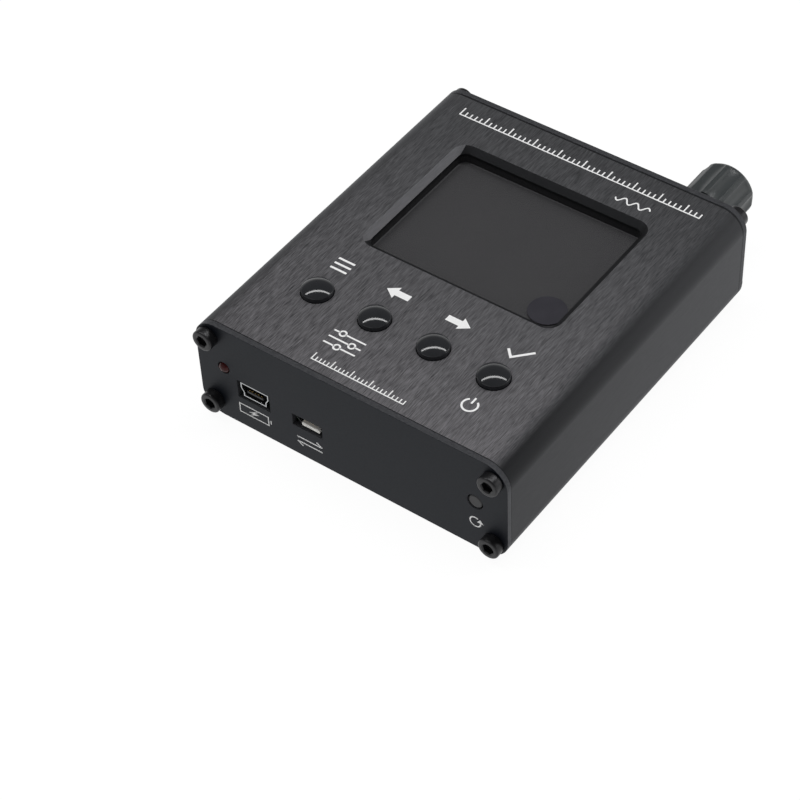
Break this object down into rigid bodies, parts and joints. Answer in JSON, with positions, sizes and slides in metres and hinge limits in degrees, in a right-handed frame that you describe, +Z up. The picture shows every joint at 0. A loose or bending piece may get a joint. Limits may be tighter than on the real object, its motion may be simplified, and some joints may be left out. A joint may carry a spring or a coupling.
{
  "type": "vector network analyzer",
  "caption": "Handheld vector network analyzer in a black extruded case with recessed display, domed keys, front charging and data sockets and a capped RF jack at the rear.",
  "frame": {"origin": "centre of the base of the whole outline, on the surface that the case stands on", "axes": "+Z up through the display, +Y towards the rear plate with the RF jack, +X to the right seen from the front plate"},
  "size_m": [0.082, 0.116, 0.0299],
  "materials": {
    "case_anodised": "black anodised over a fine lengthwise brush",
    "plate_anodised": "satin black anodised",
    "black_steel": "black oxide",
    "foam_black": "matte closed-cell foam",
    "film_tinted": "thin clear film",
    "screen_glass": "satin dark glass, switched off",
    "white_plastic": "white moulded",
    "tape_cream": "adhesive tape",
    "ribbon_amber": "flexible circuit",
    "dark_plastic": "black moulded",
    "tin_plate": "tin plated",
    "contact_gold": "gold plated",
    "board_green": "solder mask",
    "spacer_brass": "turned brass",
    "zinc_steel": "zinc plated",
    "chip_black": "moulded package",
    "coil_grey": "ferrite",
    "pouch_foil": "laminated pouch foil",
    "tape_amber": "amber insulating tape",
    "lead_red": "insulated wire",
    "socket_steel": "nickel plated steel",
    "lamp_red": "dark red lens",
    "jack_nickel": "nickel plated",
    "coax_brown": "thin coaxial cable",
    "cap_plastic": "moulded, slight sheen",
    "liner_rubber": "sealing disc",
    "key_gloss": "polished black",
    "stem_grey": "moulded",
    "print_white": "screen-printed ink"
  },
  "bodies": {
    "case": {"case_tube": "case_anodised", "front_plate": "plate_anodised", "rear_plate": "plate_anodised", "front_screws": "black_steel", "rear_screws": "black_steel", "window_gasket": "foam_black", "screen_film": "film_tinted", "lcd_glass": "screen_glass", "lcd_backlight": "white_plastic", "lcd_tape": "tape_cream", "lcd_ribbon": "ribbon_amber", "key_switch_housings": "dark_plastic", "key_switch_covers": "tin_plate", "key_snap_discs": "contact_gold", "display_board": "board_green", "main_board": "board_green", "board_spacers": "spacer_brass", "upper_board_screws": "zinc_steel", "lower_board_screws": "zinc_steel", "link_socket": "dark_plastic", "link_header": "dark_plastic", "link_pins": "contact_gold", "processor_chip": "chip_black", "rf_shield_can": "tin_plate", "rf_chips": "chip_black", "power_chips": "chip_black", "power_coil": "coil_grey", "clock_crystal": "tin_plate", "battery_cell": "pouch_foil", "battery_guard_board": "tape_amber", "battery_pad": "foam_black", "battery_leads": "lead_red", "battery_plug": "white_plastic", "battery_socket": "white_plastic", "mini_usb_shell": "socket_steel", "mini_usb_tongue": "dark_plastic", "mini_usb_contacts": "contact_gold", "micro_usb_shell": "socket_steel", "micro_usb_tongue": "white_plastic", "micro_usb_contacts": "contact_gold", "status_led": "lamp_red", "led_leads": "tin_plate", "reset_switch_body": "dark_plastic", "rf_jack_body": "jack_nickel", "rf_jack_insulator": "white_plastic", "rf_jack_contact": "contact_gold", "rf_jack_washer": "zinc_steel", "rf_jack_nut": "jack_nickel", "rf_coax_lead": "coax_brown"},
    "key_1": {"key_cap_1": "key_gloss", "key_plunger_1": "stem_grey"},
    "key_2": {"key_cap_2": "key_gloss", "key_plunger_2": "stem_grey"},
    "key_3": {"key_cap_3": "key_gloss", "key_plunger_3": "stem_grey"},
    "key_4": {"key_cap_4": "key_gloss", "key_plunger_4": "stem_grey"},
    "reset_button": {"reset_plunger": "dark_plastic"},
    "cap_slider": {"cap_liner": "liner_rubber"},
    "dust_cap": {"dust_cap": "cap_plastic"}
  },
  "joints": [
    {"name": "key_1_press", "type": "slide", "parent": "case", "child": "key_1", "axis": [0, 0, -1], "range_m": [0, 0.0003], "stiffness_N_per_m": 1500, "springref_m": -0.0003},
    {"name": "key_2_press", "type": "slide", "parent": "case", "child": "key_2", "axis": [0, 0, -1], "range_m": [0, 0.0003], "stiffness_N_per_m": 1500, "springref_m": -0.0003},
    {"name": "key_3_press", "type": "slide", "parent": "case", "child": "key_3", "axis": [0, 0, -1], "range_m": [0, 0.0003], "stiffness_N_per_m": 1500, "springref_m": -0.0003},
    {"name": "key_4_press", "type": "slide", "parent": "case", "child": "key_4", "axis": [0, 0, -1], "range_m": [0, 0.0003], "stiffness_N_per_m": 1500, "springref_m": -0.0003},
    {"name": "reset_press", "type": "slide", "parent": "case", "child": "reset_button", "axis": [0, 1, 0], "range_m": [0, 0.0003], "stiffness_N_per_m": 1500, "springref_m": -0.0003},
    {"name": "cap_travel", "type": "slide", "parent": "case", "child": "cap_slider", "axis": [0, 1, 0], "range_m": [0, 0.01088]},
    {"name": "cap_turn", "type": "hinge", "parent": "cap_slider", "child": "dust_cap", "pos_m": [0.0255, 0.05185, 0.0138], "axis": [0, 1, 0], "range_deg": [0, 4325]}
  ],
  "couplings": [
    {"joint": "cap_turn", "follows": "cap_travel", "rad_per_m": 6926.4}
  ]
}
